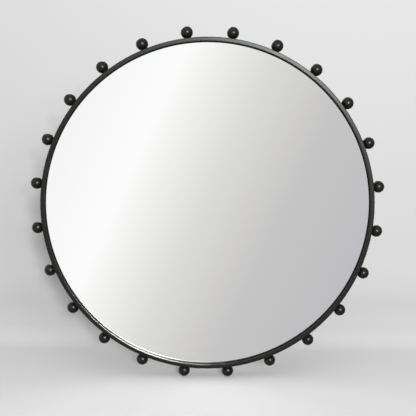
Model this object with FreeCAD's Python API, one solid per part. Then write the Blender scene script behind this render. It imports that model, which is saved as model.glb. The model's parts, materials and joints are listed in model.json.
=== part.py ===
import FreeCAD, Part
import math
import os

# Round outdoor wall mirror: a hoop of flat bar with balls screwed all round its outer wall,
# a silvered glass set back inside the hoop, a metal back panel, and two hanging rings.
# Millimetres. X runs to the viewer's right, Y runs away from the viewer to the wall, Z is up.
# The origin is the mirror's centre, half way through its depth. Depths are measured from the
# hoop's front edge towards the wall.

Vector = FreeCAD.Vector
ORIGIN = Vector(0, 0, 0)
TO_WALL = Vector(0, 1, 0)
TO_RIGHT = Vector(1, 0, 0)
UP = Vector(0, 0, 1)
FULL_TURN = 360.0

# Hoop, a flat bar rolled on its flat and butt welded
HOOP_OUTER_DIA = 839.0
HOOP_WALL = 10.0
HOOP_DEPTH = 40.0
HOOP_EDGE_ROUND = 1.5

# Balls round the hoop
BALL_COUNT = 24
BALL_DIA = 30.0
BALL_SEAT_CUT = 0.3
BALL_START_SHARE = 0.5
BALL_DEPTH_SHARE = 0.5
BALL_WASHER_DIA = 12.0
BALL_WASHER_HOLE_DIA = 6.4
BALL_WASHER_THICK = 0.5

# Countersunk screws from inside the hoop into the balls
BALL_SCREW_DIA = 6.0
BALL_SCREW_LENGTH = 20.0
BALL_SCREW_HEAD_DIA = 12.0
BALL_SCREW_SINK = 0.15
BALL_SCREW_RIM = 0.3
BALL_SCREW_HOLE_CLEARANCE = 0.2
BALL_HOLE_SPARE = 2.0
HEX_KEY = 4.0
HEX_KEY_DEPTH = 2.0
THREAD_CLEARANCE = 0.05

# Glass, its backing film and the seal round it
GLASS_SETBACK = 11.0
GLASS_THICK = 4.0
GLASS_EDGE_GAP = 1.5
GLASS_EDGE_CHAMFER = 0.5
FILM_THICK = 0.3
FILM_MARGIN = 1.0
SEAL_CLEARANCE = 0.1
SEAL_RECESS = 0.6

# Mounting tape and adhesive between the film and the back panel
TAPE_THICK = 2.0
TAPE_WIDTH = 30.0
TAPE_COUNT = 6
TAPE_MARGIN = 26.0
BEAD_WIDTH = 12.0

# Back panel of galvanised sheet, with welded studs
PANEL_THICK = 1.5
PANEL_GAP = 1.0
STUD_DIA = 5.0
STUD_LENGTH = 12.0
STUD_FLANGE_DIA = 6.5
STUD_FLANGE_THICK = 0.8
STUD_INSET = 16.0
WASHER_DIA = 15.0
WASHER_THICK = 1.2
WASHER_CLEARANCE = 0.15
NUT_FLATS = 8.0
NUT_HEIGHT = 3.8
NUT_COLLAR_DIA = 7.4
NUT_COLLAR_HEIGHT = 1.2

# Fixing lugs welded inside the hoop
LUG_COUNT = 8
LUG_WIDTH = 30.0
LUG_LENGTH = 28.0
LUG_THICK = 3.0
LUG_CORNER = 5.0
LUG_HOLE_DIA = 7.0
WELD_GAP = 0.1
WELD_LEG = 4.0
WELD_INSET = 3.0

# Hanger plates, straps and rings
HANGER_ANGLE = 30.0
HANGER_EYE_DROP = 56.0
PLATE_WIDTH = 50.0
PLATE_FOOT = 70.0
PLATE_CORNER = 6.0
STRAP_WIDTH = 20.0
STRAP_THICK = 1.5
STRAP_FOOT = 62.0
STRAP_CORNER = 4.0
EYE_CLEARANCE = 0.06
EYE_STANDOFF = 0.35
RING_WIRE_DIA = 5.0
RING_SIDE_CLEARANCE = 0.5
RING_CORNER = 5.0
RING_SIDE = 4.0
RIVET_DIA = 5.0
RIVET_HEAD_DIA = 9.0
RIVET_HEAD_HEIGHT = 2.0
RIVET_FLARE_DIA = 8.0
RIVET_FLARE_DEPTH = 1.4
RIVET_CLEARANCE = 0.05
RIVET_UPPER = 36.0
RIVET_LOWER = 54.0

# Rubber bumpers on the hoop's back edge
BUMPER_COUNT = 6
BUMPER_START_ANGLE = 30.0
BUMPER_DIA = 7.0
BUMPER_THICK = 3.0
BUMPER_ROUND = 0.8
BUMPER_STEM_DIA = 3.0
BUMPER_STEM_LENGTH = 6.0
BUMPER_STEM_CLEARANCE = 0.1

# One overrun for every cut
OVERRUN = 5.0

# Radii and depths that follow from the sizes above
OVERALL_DEPTH = HOOP_DEPTH + BUMPER_THICK
HOOP_OUTER_R = HOOP_OUTER_DIA / 2
HOOP_INNER_R = HOOP_OUTER_R - HOOP_WALL
HOOP_MID_R = HOOP_OUTER_R - HOOP_WALL / 2
BALL_R = BALL_DIA / 2
BALL_SEAT_R = HOOP_OUTER_R + BALL_WASHER_THICK
BALL_CENTRE_R = BALL_SEAT_R + BALL_R - BALL_SEAT_CUT
BALL_DEPTH = HOOP_DEPTH * BALL_DEPTH_SHARE
GLASS_R = HOOP_INNER_R - GLASS_EDGE_GAP
TAPE_REACH = GLASS_R - TAPE_MARGIN
TAPE_PITCH = 2 * TAPE_REACH / TAPE_COUNT
FILM_FRONT = GLASS_SETBACK + GLASS_THICK
TAPE_FRONT = FILM_FRONT + FILM_THICK
PANEL_FRONT = TAPE_FRONT + TAPE_THICK
PANEL_BACK = PANEL_FRONT + PANEL_THICK
LUG_BACK = PANEL_BACK + LUG_THICK
STRAP_BACK = LUG_BACK + STRAP_THICK
HANGER_X = HOOP_INNER_R * math.sin(math.radians(HANGER_ANGLE))
EYE_HEIGHT = HOOP_INNER_R * math.cos(math.radians(HANGER_ANGLE)) - HANGER_EYE_DROP
EYE_HOLE_R = RING_WIRE_DIA / 2 + EYE_CLEARANCE
EYE_DEPTH = STRAP_BACK + EYE_STANDOFF + EYE_HOLE_R
RING_HALF_WIDTH = STRAP_WIDTH / 2 + RING_SIDE_CLEARANCE + RING_CORNER


def wall_y(depth):
    """The Y of a depth measured from the hoop's front edge."""
    return depth - OVERALL_DEPTH / 2


def turned(shape, angle):
    """A copy turned about the mirror's centre, clockwise for the viewer."""
    copy = shape.copy()
    copy.rotate(ORIGIN, TO_WALL, angle)
    return copy


def disc(radius, near, far, x=0, z=0):
    """A round solid along Y between two depths."""
    return Part.makeCylinder(radius, far - near, Vector(x, wall_y(near), z), TO_WALL)


def cone(near_radius, far_radius, near, far, x=0, z=0):
    """A tapered round solid along Y between two depths."""
    return Part.makeCone(near_radius, far_radius, far - near, Vector(x, wall_y(near), z), TO_WALL)


def spoke(radius, low, high):
    """A round solid at the top of the hoop, along the spoke, at the balls' depth."""
    return Part.makeCylinder(radius, high - low, Vector(0, wall_y(BALL_DEPTH), low), UP)


def line(first, second):
    return Part.LineSegment(first, second).toShape()


def arc_round(centre, start, end, radius):
    """A quarter arc about a centre from one unit direction to the next."""
    middle = (start + end).normalize()
    points = [centre + direction * radius for direction in (start, middle, end)]
    return Part.Arc(*points).toShape()


def rounded_bar_section(low_r, high_r, near, far, corner):
    """The bar's cross-section as a face in the X-Y plane, with its four edges rounded."""
    right, wall = TO_RIGHT, TO_WALL
    inner, outer = low_r + corner, high_r - corner
    front, back = wall_y(near) + corner, wall_y(far) - corner
    centres = [Vector(outer, front, 0), Vector(outer, back, 0),
               Vector(inner, back, 0), Vector(inner, front, 0)]
    outward = [wall * -1, right, wall, right * -1]
    edges = []
    for index, centre in enumerate(centres):
        following = (index + 1) % len(centres)
        start, end = outward[index], outward[following]
        edges.append(arc_round(centre, start, end, corner))
        edges.append(line(centre + end * corner, centres[following] + end * corner))
    return Part.Face(Part.Wire(edges))


def polygon_prism(flats, near, far, x, z):
    """A hexagonal solid along Y."""
    corner_r = flats / (2 * math.cos(math.pi / 6))
    y = wall_y(near)
    corners = [Vector(x + corner_r * math.cos(math.pi / 3 * k), y,
                      z + corner_r * math.sin(math.pi / 3 * k)) for k in range(6)]
    face = Part.Face(Part.makePolygon(corners + corners[:1]))
    return face.extrude(TO_WALL * (far - near))


def footed_plate(width, low, high, corner, near, far):
    """A flat plate standing on Z, with its two lower corners rounded."""
    half, y = width / 2, wall_y(near)
    right, up = TO_RIGHT, UP
    left_centre = Vector(corner - half, y, low + corner)
    right_centre = Vector(half - corner, y, low + corner)
    top_left, top_right = Vector(-half, y, high), Vector(half, y, high)
    edges = [
        line(top_left, left_centre - right * corner),
        arc_round(left_centre, right * -1, up * -1, corner),
        line(left_centre - up * corner, right_centre - up * corner),
        arc_round(right_centre, up * -1, right, corner),
        line(right_centre + right * corner, top_right),
        line(top_right, top_left),
    ]
    return Part.Face(Part.Wire(edges)).extrude(TO_WALL * (far - near))


def ball_angles():
    """The balls' places, half a pitch either side of the top."""
    pitch = FULL_TURN / BALL_COUNT
    return [(index + BALL_START_SHARE) * pitch for index in range(BALL_COUNT)]


def lug_angles():
    return [index * FULL_TURN / LUG_COUNT for index in range(LUG_COUNT)]


def bumper_angles():
    return [BUMPER_START_ANGLE + index * FULL_TURN / BUMPER_COUNT for index in range(BUMPER_COUNT)]


def hanger_sides():
    """The X of each hanger, by the side that the viewer sees it on."""
    return {"left": -HANGER_X, "right": HANGER_X}


def ball_screw_solid(clearance):
    """A countersunk screw at the top of the hoop, or the space for one."""
    shank_r = BALL_SCREW_DIA / 2 + clearance
    head_r = BALL_SCREW_HEAD_DIA / 2 + clearance
    top = HOOP_INNER_R + BALL_SCREW_SINK
    rim = top + BALL_SCREW_RIM
    cone_top = rim + head_r - shank_r
    at = wall_y(BALL_DEPTH)
    flare = Part.makeCone(head_r, shank_r, cone_top - rim, Vector(0, at, rim), UP)
    return spoke(head_r, top, rim).fuse([flare, spoke(shank_r, rim, top + BALL_SCREW_LENGTH)])


def make_hoop():
    """The rolled bar, drilled and countersunk for the balls and drilled for the bumpers."""
    section = rounded_bar_section(HOOP_INNER_R, HOOP_OUTER_R, 0, HOOP_DEPTH, HOOP_EDGE_ROUND)
    hoop = section.revolve(ORIGIN, TO_WALL, FULL_TURN)
    hole = ball_screw_solid(BALL_SCREW_HOLE_CLEARANCE)
    mouth_r = BALL_SCREW_HEAD_DIA / 2 + BALL_SCREW_HOLE_CLEARANCE
    hole = hole.fuse(spoke(mouth_r, HOOP_INNER_R - OVERRUN, HOOP_INNER_R + BALL_SCREW_SINK))
    cuts = [turned(hole, angle) for angle in ball_angles()]
    stem_hole_r = BUMPER_STEM_DIA / 2 + BUMPER_STEM_CLEARANCE
    hole_floor = HOOP_DEPTH - BUMPER_STEM_LENGTH - BUMPER_STEM_CLEARANCE
    stem_hole = disc(stem_hole_r, hole_floor, HOOP_DEPTH + OVERRUN, 0, HOOP_MID_R)
    cuts += [turned(stem_hole, angle) for angle in bumper_angles()]
    return hoop.cut(cuts)


def make_ball():
    """One ball at the top of the hoop, with a flat seat and a blind tapped hole."""
    ball = Part.makeSphere(BALL_R, Vector(0, wall_y(BALL_DEPTH), BALL_CENTRE_R))
    below = spoke(BALL_R, BALL_SEAT_R - OVERRUN, BALL_SEAT_R)
    screw_end = HOOP_INNER_R + BALL_SCREW_SINK + BALL_SCREW_LENGTH
    hole_r = BALL_SCREW_DIA / 2 + THREAD_CLEARANCE
    hole = spoke(hole_r, BALL_SEAT_R - OVERRUN, screw_end + BALL_HOLE_SPARE)
    return ball.cut([below, hole])


def make_ball_washer():
    """A thin nylon washer between a ball and the hoop."""
    washer = spoke(BALL_WASHER_DIA / 2, HOOP_OUTER_R, BALL_SEAT_R)
    return washer.cut(spoke(BALL_WASHER_HOLE_DIA / 2, HOOP_OUTER_R - OVERRUN, BALL_SEAT_R + OVERRUN))


def make_ball_screw():
    """A countersunk screw with a hexagon socket in its head."""
    screw = ball_screw_solid(0)
    top = HOOP_INNER_R + BALL_SCREW_SINK
    socket = polygon_prism(HEX_KEY, 0, HEX_KEY_DEPTH, 0, 0)
    socket.translate(Vector(0, -wall_y(0), 0))
    socket.rotate(ORIGIN, TO_RIGHT, FULL_TURN / 4)
    socket.translate(Vector(0, wall_y(BALL_DEPTH), top))
    return screw.cut(socket)


def make_mirror_glass():
    """The silvered glass, a disc with its arrises taken off."""
    glass = disc(GLASS_R, GLASS_SETBACK, FILM_FRONT)
    rims = [edge for edge in glass.Edges if len(edge.Vertexes) == 1]
    return glass.makeChamfer(GLASS_EDGE_CHAMFER, rims)


def make_safety_film():
    """The film stuck over the glass's painted back."""
    return disc(GLASS_R - FILM_MARGIN, FILM_FRONT, TAPE_FRONT)


def make_edge_seal():
    """The silicone bead between the glass's edge and the hoop."""
    near, far = GLASS_SETBACK + SEAL_RECESS, FILM_FRONT
    bead = disc(HOOP_INNER_R - SEAL_CLEARANCE, near, far)
    return bead.cut(disc(GLASS_R + SEAL_CLEARANCE, near - OVERRUN, far + OVERRUN))


def upright_strips(width, places):
    """Upright strips between the film and the panel, as long as the round panel lets them be."""
    strips = []
    for x in places:
        half_length = math.sqrt(TAPE_REACH ** 2 - (abs(x) + width / 2) ** 2)
        corner = Vector(x - width / 2, wall_y(TAPE_FRONT), -half_length)
        strips.append(Part.makeBox(width, TAPE_THICK, 2 * half_length, corner))
    return Part.makeCompound(strips)


def make_foam_tape():
    middle = (TAPE_COUNT - 1) / 2
    return upright_strips(TAPE_WIDTH, [(k - middle) * TAPE_PITCH for k in range(TAPE_COUNT)])


def make_adhesive_beads():
    """Beads of mirror adhesive half way between the strips of tape."""
    middle = (TAPE_COUNT - 2) / 2
    return upright_strips(BEAD_WIDTH, [(k - middle) * TAPE_PITCH for k in range(TAPE_COUNT - 1)])


def make_back_panel():
    return disc(HOOP_INNER_R - PANEL_GAP, PANEL_FRONT, PANEL_BACK)


def make_fixing_lugs():
    """Tabs welded inside the hoop behind the panel, each with a hole for a stud."""
    top = HOOP_INNER_R
    tab = footed_plate(LUG_WIDTH, top - LUG_LENGTH, top + OVERRUN, LUG_CORNER, PANEL_BACK, LUG_BACK)
    tab = tab.common(disc(HOOP_INNER_R - WELD_GAP, PANEL_BACK, LUG_BACK))
    hole = disc(LUG_HOLE_DIA / 2, PANEL_BACK - OVERRUN, LUG_BACK + OVERRUN, 0, top - STUD_INSET)
    lug = tab.cut(hole)
    return Part.makeCompound([turned(lug, angle) for angle in lug_angles()])


def weld_fillet(middle_angle, span_angle):
    """A three-cornered run of weld where a plate's back face meets the hoop's inner wall."""
    wall_r, y = HOOP_INNER_R - WELD_GAP, wall_y(LUG_BACK)
    corners = [Vector(0, y, wall_r), Vector(0, y + WELD_LEG, wall_r), Vector(0, y, wall_r - WELD_LEG)]
    face = Part.Face(Part.makePolygon(corners + corners[:1]))
    return turned(face.revolve(ORIGIN, TO_WALL, span_angle), middle_angle - span_angle / 2)


def make_weld_beads():
    """The welds that hold the lugs and the hanger plates to the hoop."""
    lug_span = math.degrees((LUG_WIDTH - 2 * WELD_INSET) / HOOP_INNER_R)
    welds = [weld_fillet(angle, lug_span) for angle in lug_angles()]
    for x in hanger_sides().values():
        near_x, far_x = abs(x) - PLATE_WIDTH / 2 + WELD_INSET, abs(x) + PLATE_WIDTH / 2 - WELD_INSET
        low = math.degrees(math.asin(near_x / HOOP_INNER_R))
        high = math.degrees(math.asin(far_x / HOOP_INNER_R))
        welds.append(weld_fillet(math.copysign((low + high) / 2, x), high - low))
    return Part.makeCompound(welds)


def make_panel_studs():
    """Studs welded to the panel's back, through the lugs."""
    z = HOOP_INNER_R - STUD_INSET
    flange = disc(STUD_FLANGE_DIA / 2, PANEL_BACK, PANEL_BACK + STUD_FLANGE_THICK, 0, z)
    stud = flange.fuse(disc(STUD_DIA / 2, PANEL_BACK, PANEL_BACK + STUD_LENGTH, 0, z))
    return Part.makeCompound([turned(stud, angle) for angle in lug_angles()])


def make_panel_washers():
    z = HOOP_INNER_R - STUD_INSET
    washer = disc(WASHER_DIA / 2, LUG_BACK, LUG_BACK + WASHER_THICK, 0, z)
    hole = disc(STUD_DIA / 2 + WASHER_CLEARANCE, LUG_BACK - OVERRUN, LUG_BACK + OVERRUN, 0, z)
    washer = washer.cut(hole)
    return Part.makeCompound([turned(washer, angle) for angle in lug_angles()])


def make_panel_nuts():
    """Locking nuts: a hexagon with a round collar that holds a nylon ring."""
    z = HOOP_INNER_R - STUD_INSET
    near = LUG_BACK + WASHER_THICK
    shoulder = near + NUT_HEIGHT
    collar = disc(NUT_COLLAR_DIA / 2, shoulder, shoulder + NUT_COLLAR_HEIGHT, 0, z)
    nut = polygon_prism(NUT_FLATS, near, shoulder, 0, z).fuse(collar)
    nut = nut.cut(disc(STUD_DIA / 2 + THREAD_CLEARANCE, near - OVERRUN, shoulder + OVERRUN, 0, z))
    return Part.makeCompound([turned(nut, angle) for angle in lug_angles()])


def rivet_heights():
    return [EYE_HEIGHT - RIVET_UPPER, EYE_HEIGHT - RIVET_LOWER]


def make_hanger_plate(x):
    """A plate welded inside the hoop, which carries a hanging strap."""
    low = EYE_HEIGHT - PLATE_FOOT
    plate = footed_plate(PLATE_WIDTH, low, HOOP_INNER_R, PLATE_CORNER, PANEL_BACK, LUG_BACK)
    plate.translate(Vector(x, 0, 0))
    plate = plate.common(disc(HOOP_INNER_R - WELD_GAP, PANEL_BACK, LUG_BACK))
    hole_r = RIVET_DIA / 2 + RIVET_CLEARANCE
    flare_r = RIVET_FLARE_DIA / 2 + RIVET_CLEARANCE
    cuts = []
    for z in rivet_heights():
        cuts.append(disc(hole_r, PANEL_BACK - OVERRUN, LUG_BACK + OVERRUN, x, z))
        cuts.append(cone(flare_r, hole_r, PANEL_BACK, PANEL_BACK + RIVET_FLARE_DEPTH, x, z))
    return plate.cut(cuts)


def make_hanger_strap(x):
    """A strap with an eye at its top end, where the ring turns."""
    foot = EYE_HEIGHT - STRAP_FOOT
    strap = footed_plate(STRAP_WIDTH, foot, EYE_HEIGHT, STRAP_CORNER, LUG_BACK, STRAP_BACK)
    strap.translate(Vector(x, 0, 0))
    start = Vector(x - STRAP_WIDTH / 2, wall_y(EYE_DEPTH), EYE_HEIGHT)
    eye = Part.makeCylinder(EYE_HOLE_R + STRAP_THICK, STRAP_WIDTH, start, TO_RIGHT)
    bore_start = start - TO_RIGHT * OVERRUN
    bore = Part.makeCylinder(EYE_HOLE_R, STRAP_WIDTH + 2 * OVERRUN, bore_start, TO_RIGHT)
    hole_r = RIVET_DIA / 2 + RIVET_CLEARANCE
    holes = [disc(hole_r, LUG_BACK - OVERRUN, STRAP_BACK + OVERRUN, x, z) for z in rivet_heights()]
    return strap.fuse(eye).cut([bore] + holes)


def make_d_ring(x):
    """A closed ring of round wire, hanging from its straight side in the strap's eye."""
    right, up = TO_RIGHT, UP
    eye = Vector(x, wall_y(EYE_DEPTH), EYE_HEIGHT)
    inset = RING_HALF_WIDTH - RING_CORNER
    right_corner = eye + right * inset - up * RING_CORNER
    left_corner = eye - right * inset - up * RING_CORNER
    bow_centre = eye - up * (RING_CORNER + RING_SIDE)
    bow = [bow_centre + way * RING_HALF_WIDTH for way in (right, up * -1, right * -1)]
    path = Part.Wire([
        line(eye, eye + right * inset),
        arc_round(right_corner, up, right, RING_CORNER),
        line(right_corner + right * RING_CORNER, bow[0]),
        Part.Arc(*bow).toShape(),
        line(bow[2], left_corner - right * RING_CORNER),
        arc_round(left_corner, right * -1, up, RING_CORNER),
        line(eye - right * inset, eye),
    ])
    wire_section = Part.Wire(Part.makeCircle(RING_WIRE_DIA / 2, eye, right))
    return path.makePipeShell([wire_section], True, False)


def make_hanger_rivets():
    """Rivets with a low round head behind the strap and a flush flare in front of the plate."""
    rivets = []
    for x in hanger_sides().values():
        for z in rivet_heights():
            shank = disc(RIVET_DIA / 2, PANEL_BACK, STRAP_BACK, x, z)
            flare_end = PANEL_BACK + RIVET_FLARE_DEPTH
            flare = cone(RIVET_FLARE_DIA / 2, RIVET_DIA / 2, PANEL_BACK, flare_end, x, z)
            rivets.append(shank.fuse([flare, rivet_head(x, z)]))
    return Part.makeCompound(rivets)


def rivet_head(x, z):
    """A low dome on the strap, cut from a ball that passes through the head's rim."""
    rim_r = RIVET_HEAD_DIA / 2
    dome_r = (rim_r ** 2 + RIVET_HEAD_HEIGHT ** 2) / (2 * RIVET_HEAD_HEIGHT)
    top = STRAP_BACK + RIVET_HEAD_HEIGHT
    dome = Part.makeSphere(dome_r, Vector(x, wall_y(top - dome_r), z))
    return dome.common(disc(rim_r + OVERRUN, STRAP_BACK, top + OVERRUN, x, z))


def make_wall_bumpers():
    """Rubber bumpers on the hoop's back edge, each with a stem pushed into a hole."""
    pad = disc(BUMPER_DIA / 2, HOOP_DEPTH, OVERALL_DEPTH, 0, HOOP_MID_R)
    rims = [edge for edge in pad.Edges
            if len(edge.Vertexes) == 1 and edge.BoundBox.YMin > wall_y(HOOP_DEPTH + BUMPER_THICK / 2)]
    pad = pad.makeFillet(BUMPER_ROUND, rims)
    stem = disc(BUMPER_STEM_DIA / 2, HOOP_DEPTH - BUMPER_STEM_LENGTH, HOOP_DEPTH, 0, HOOP_MID_R)
    bumper = pad.fuse(stem)
    return Part.makeCompound([turned(bumper, angle) for angle in bumper_angles()])


def build_parts():
    """Every node's name and shape."""
    parts = {"hoop": make_hoop()}
    ball, ball_washer, ball_screw = make_ball(), make_ball_washer(), make_ball_screw()
    for number, angle in enumerate(ball_angles(), start=1):
        parts["ball_%02d" % number] = turned(ball, angle)
    parts["ball_washers"] = Part.makeCompound([turned(ball_washer, angle) for angle in ball_angles()])
    parts["ball_screws"] = Part.makeCompound([turned(ball_screw, angle) for angle in ball_angles()])
    parts["mirror_glass"] = make_mirror_glass()
    parts["safety_film"] = make_safety_film()
    parts["edge_seal"] = make_edge_seal()
    parts["foam_tape"] = make_foam_tape()
    parts["adhesive_beads"] = make_adhesive_beads()
    parts["back_panel"] = make_back_panel()
    parts["fixing_lugs"] = make_fixing_lugs()
    parts["weld_beads"] = make_weld_beads()
    parts["panel_studs"] = make_panel_studs()
    parts["panel_washers"] = make_panel_washers()
    parts["panel_nuts"] = make_panel_nuts()
    for side, x in hanger_sides().items():
        parts["hanger_plate_" + side] = make_hanger_plate(x)
        parts["hanger_strap_" + side] = make_hanger_strap(x)
        parts["d_ring_" + side] = make_d_ring(x)
    parts["hanger_rivets"] = make_hanger_rivets()
    parts["wall_bumpers"] = make_wall_bumpers()
    return parts


def main():
    os.makedirs("parts", exist_ok=True)
    for name, shape in build_parts().items():
        shape.exportStep("parts/" + name + ".step")
        box = shape.BoundBox
        print("%-20s %2d solid  valid %s  volume %10.0f  y %7.2f to %6.2f"
              % (name, len(shape.Solids), shape.isValid(), shape.Volume, box.YMin, box.YMax))


main()
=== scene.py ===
"""Looks of a round outdoor wall mirror: a black steel hoop ringed with balls, and a glass set in it.

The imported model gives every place. Metres, +X to the viewer's right, +Y to the wall, +Z up, with the
origin at the mirror's centre, half way through its depth.
"""

import json
import logging
import math
from collections.abc import Iterable, Sequence
from dataclasses import dataclass
from enum import Enum
from functools import lru_cache, partial

import bmesh
import bpy
from mathutils import Matrix, Vector


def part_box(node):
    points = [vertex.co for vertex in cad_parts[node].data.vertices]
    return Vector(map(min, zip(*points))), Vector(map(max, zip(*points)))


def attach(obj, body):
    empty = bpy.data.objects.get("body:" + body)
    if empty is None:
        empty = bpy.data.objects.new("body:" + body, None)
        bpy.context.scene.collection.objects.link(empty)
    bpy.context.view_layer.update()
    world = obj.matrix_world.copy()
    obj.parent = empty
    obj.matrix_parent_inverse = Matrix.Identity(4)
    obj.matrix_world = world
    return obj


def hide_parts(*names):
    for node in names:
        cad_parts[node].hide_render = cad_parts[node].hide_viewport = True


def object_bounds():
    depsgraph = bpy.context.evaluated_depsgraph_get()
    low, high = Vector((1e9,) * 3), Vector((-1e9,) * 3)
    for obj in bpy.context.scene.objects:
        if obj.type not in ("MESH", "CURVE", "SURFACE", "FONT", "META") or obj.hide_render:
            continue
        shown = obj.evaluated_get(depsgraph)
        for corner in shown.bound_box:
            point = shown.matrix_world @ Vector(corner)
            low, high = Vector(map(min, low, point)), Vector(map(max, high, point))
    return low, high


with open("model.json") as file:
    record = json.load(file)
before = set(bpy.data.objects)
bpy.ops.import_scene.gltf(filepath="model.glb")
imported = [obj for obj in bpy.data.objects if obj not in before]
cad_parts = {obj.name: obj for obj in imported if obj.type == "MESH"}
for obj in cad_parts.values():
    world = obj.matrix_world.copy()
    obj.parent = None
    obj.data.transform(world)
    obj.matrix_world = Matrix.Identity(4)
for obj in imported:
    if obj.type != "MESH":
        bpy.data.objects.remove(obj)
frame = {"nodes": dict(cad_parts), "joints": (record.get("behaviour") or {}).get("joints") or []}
CAD_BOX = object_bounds()

LOG = logging.getLogger("round_mirror")

MM = 0.001
CENTRE = Vector((0, 0, 0))
WALLWARD = Vector((0, 1, 0))
FULL_TURN = 2 * math.pi
SHARP_ANGLE = math.radians(32)
RIM_ANGLE = math.radians(60)
RIM_STEPS = 2
MERGE_DISTANCE = 0.004 * MM

# The body that every new piece rides on. The hanging rings are CAD nodes, on bodies of their own
MIRROR_BODY = "mirror"

# The back panel is cut 1 mm smaller than the hoop's inner wall
INNER_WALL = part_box("back_panel")[1].x + MM

# Sockets of the Mix node when it mixes colours, which share their names with others
MIX_FACTOR, MIX_A, MIX_B, MIX_RESULT = 0, 6, 7, 2

Triple = tuple[float, float, float]


class Slot(Enum):
    """The record's material slots."""

    HOOP = "hoop_black"
    BALL = "ball_black"
    BRACKET = "bracket_black"
    NYLON = "nylon_black"
    SCREW = "screw_black"
    MIRROR = "mirror_silver"
    FILM = "film_grey"
    SILICONE = "silicone_black"
    FOAM = "foam_white"
    ADHESIVE = "adhesive_cream"
    SHEET = "galvanised_sheet"
    ZINC = "zinc_plate"
    WIRE = "zinc_wire"
    RIVET = "rivet_steel"
    RUBBER = "rubber_black"


class Side(Enum):
    """The viewer's two sides, as the hangers' nodes name them."""

    LEFT = "left"
    RIGHT = "right"


def linear(code: str) -> tuple[float, float, float, float]:
    """Turns an sRGB hex colour into a linear one.

    Args:
        code: Six hex digits, without a hash sign.

    Returns:
        Red, green, blue and an alpha of 1.
    """
    parts = [int(code[k:k + 2], 16) / 255 for k in (0, 2, 4)]
    red, green, blue = [p / 12.92 if p <= 0.04045 else ((p + 0.055) / 1.055) ** 2.4 for p in parts]
    return red, green, blue, 1.0


def add_node(tree: bpy.types.NodeTree, kind: str, inputs: dict | None = None,
             settings: dict | None = None, stops: Sequence[tuple[float, str]] = ()) -> bpy.types.Node:
    """Adds a node to a tree.

    Args:
        tree: The tree that gets the node.
        kind: The node's type, without the words ShaderNode.
        inputs: Socket name or number, to a value or to the socket that feeds it.
        settings: The node's own properties.
        stops: Places and hex colours, for a node with a colour ramp.

    Returns:
        The new node.
    """
    node = tree.nodes.new("ShaderNode" + kind)
    for name, value in (settings or {}).items():
        setattr(node, name, value)
    for name, value in (inputs or {}).items():
        if isinstance(value, bpy.types.NodeSocket):
            tree.links.new(value, node.inputs[name])
        else:
            node.inputs[name].default_value = value
    for index, (place, code) in enumerate(stops):
        elements = node.color_ramp.elements
        element = elements[index] if index < 2 else elements.new(place)
        element.position, element.color = place, linear(code)
    return node


@dataclass(frozen=True)
class Skin:
    """A material in the making: its tree, its shader, and the object coordinates in metres."""

    tree: bpy.types.NodeTree
    shader: bpy.types.Node
    coords: bpy.types.NodeSocket

    def add(self, kind: str, inputs: dict | None = None,
            settings: dict | None = None) -> bpy.types.Node:
        """Adds a node, which reads the object's coordinates if it is a texture with no other place.

        Args:
            kind: The node's type, without the words ShaderNode.
            inputs: Socket name or number, to a value or to the socket that feeds it.
            settings: The node's own properties.

        Returns:
            The new node.
        """
        place = {"Vector": self.coords} if kind in ("TexNoise", "TexVoronoi", "TexWave") else {}
        return add_node(self.tree, kind, place | (inputs or {}), settings)

    def feed(self, name: str, source: bpy.types.NodeSocket) -> None:
        """Links a socket to one of the shader's."""
        self.tree.links.new(source, self.shader.inputs[name])

    def lift(self, patterns: Iterable[tuple[bpy.types.NodeSocket, float]]) -> None:
        """Raises the surface by one or more patterns, one on the other.

        Args:
            patterns: Patterns from 0 to 1, with the height in metres of each.
        """
        below = {}
        for pattern, height in patterns:
            bump = self.add("Bump", {"Height": pattern, "Distance": height, "Strength": 1.0} | below)
            below = {"Normal": bump.outputs["Normal"]}
        self.feed("Normal", below["Normal"])


@dataclass(frozen=True)
class Finish:
    """A finish: its name, the record's slot that it answers to, and the values that it starts from."""

    name: str
    slot: Slot
    colour: str
    second_colour: str
    roughness: float
    metallic: float = 0.0
    specular: float = 0.5
    sheen_tint: str = "FFFFFF"
    spread: float = 0.05

    @lru_cache(maxsize=None)
    def material(self) -> bpy.types.Material:
        """Makes the material, once for each finish.

        Returns:
            The material.
        """
        material = bpy.data.materials.new(self.name)
        material.use_nodes = True
        tree = material.node_tree
        shader = tree.nodes["Principled BSDF"]
        values = {"Base Color": linear(self.colour), "Roughness": self.roughness,
                  "Metallic": self.metallic, "Specular IOR Level": self.specular,
                  "Specular Tint": linear(self.sheen_tint)}
        for name, value in values.items():
            shader.inputs[name].default_value = value
        self.dress(Skin(tree, shader, add_node(tree, "TexCoord").outputs["Object"]))
        return material

    def dress(self, skin: Skin) -> None:
        """Adds the finish's own nodes, as each kind of finish says."""
        raise NotImplementedError

    def blend(self, skin: Skin, factor: bpy.types.NodeSocket) -> None:
        """Lets the base colour run from the first colour to the second.

        Args:
            skin: The material in the making.
            factor: 0 for the first colour, 1 for the second.
        """
        mix = skin.add("Mix", {MIX_FACTOR: factor, MIX_A: linear(self.colour),
                               MIX_B: linear(self.second_colour)}, {"data_type": "RGBA"})
        skin.feed("Base Color", mix.outputs[MIX_RESULT])

    def vary(self, skin: Skin, factor: bpy.types.NodeSocket) -> None:
        """Lets the roughness wander about its value, by the finish's spread each way.

        Args:
            skin: The material in the making.
            factor: From 0 to 1.
        """
        span = skin.add("MapRange", {"Value": factor, "To Min": self.roughness - self.spread,
                                     "To Max": self.roughness + self.spread})
        skin.feed("Roughness", span.outputs["Result"])


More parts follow.
